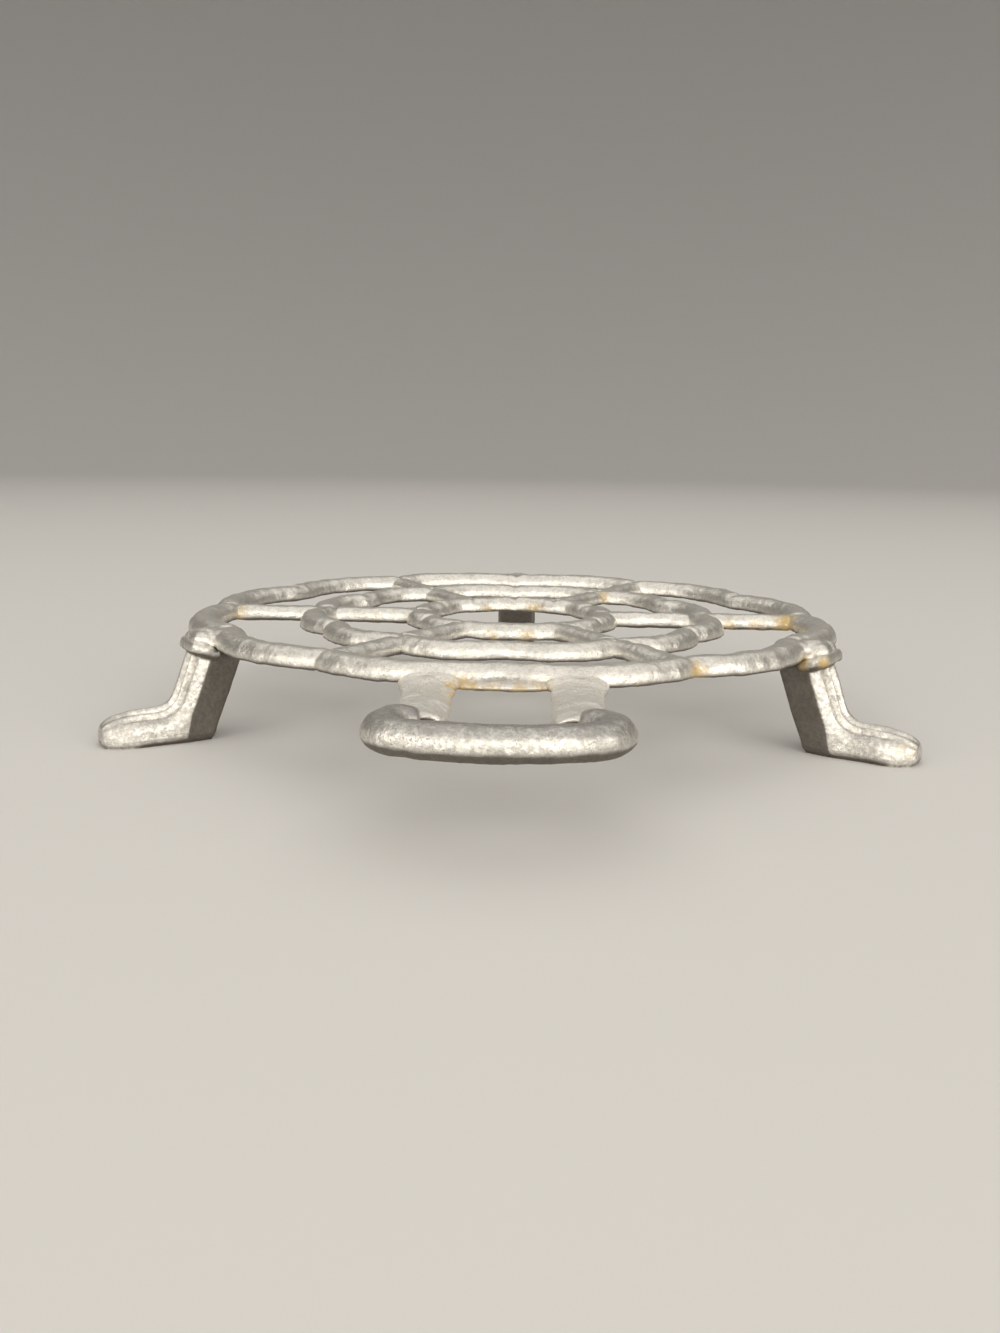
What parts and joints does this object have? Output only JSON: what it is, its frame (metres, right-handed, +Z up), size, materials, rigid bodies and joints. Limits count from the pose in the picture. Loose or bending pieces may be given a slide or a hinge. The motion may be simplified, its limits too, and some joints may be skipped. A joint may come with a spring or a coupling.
{
  "type": "trivet",
  "caption": "Round openwork metal trivet: scalloped concentric rings on radial spokes, fluted splayed legs with shoe-shaped feet, and a loop handle at the front.",
  "frame": {"origin": "middle of the footprint's bounding box, on the table under the soles", "axes": "+Z up from the table; -Y towards the handle at the front, so +Y towards the back leg; +X to the right, seen from the handle's end"},
  "size_m": [0.169, 0.2084, 0.0236],
  "materials": {
    "plated_casting": "worn silvery plating over a sand casting: half-bright crowns, fine dark pits, grey upper faces and amber residue in the crevices"
  },
  "bodies": {
    "root": {"outer_rim": "plated_casting", "middle_ring": "plated_casting", "inner_ring": "plated_casting", "outer_spoke_right": "plated_casting", "outer_spoke_back_right": "plated_casting", "outer_spoke_back_left": "plated_casting", "outer_spoke_left": "plated_casting", "outer_spoke_front_left": "plated_casting", "outer_spoke_front_right": "plated_casting", "inner_spoke_right": "plated_casting", "inner_spoke_back_right": "plated_casting", "inner_spoke_back_left": "plated_casting", "inner_spoke_left": "plated_casting", "inner_spoke_front_left": "plated_casting", "inner_spoke_front_right": "plated_casting", "leg_back": "plated_casting", "leg_front_left": "plated_casting", "leg_front_right": "plated_casting", "handle_lug_left": "plated_casting", "handle_lug_right": "plated_casting", "handle_loop": "plated_casting"}
  },
  "joints": []
}
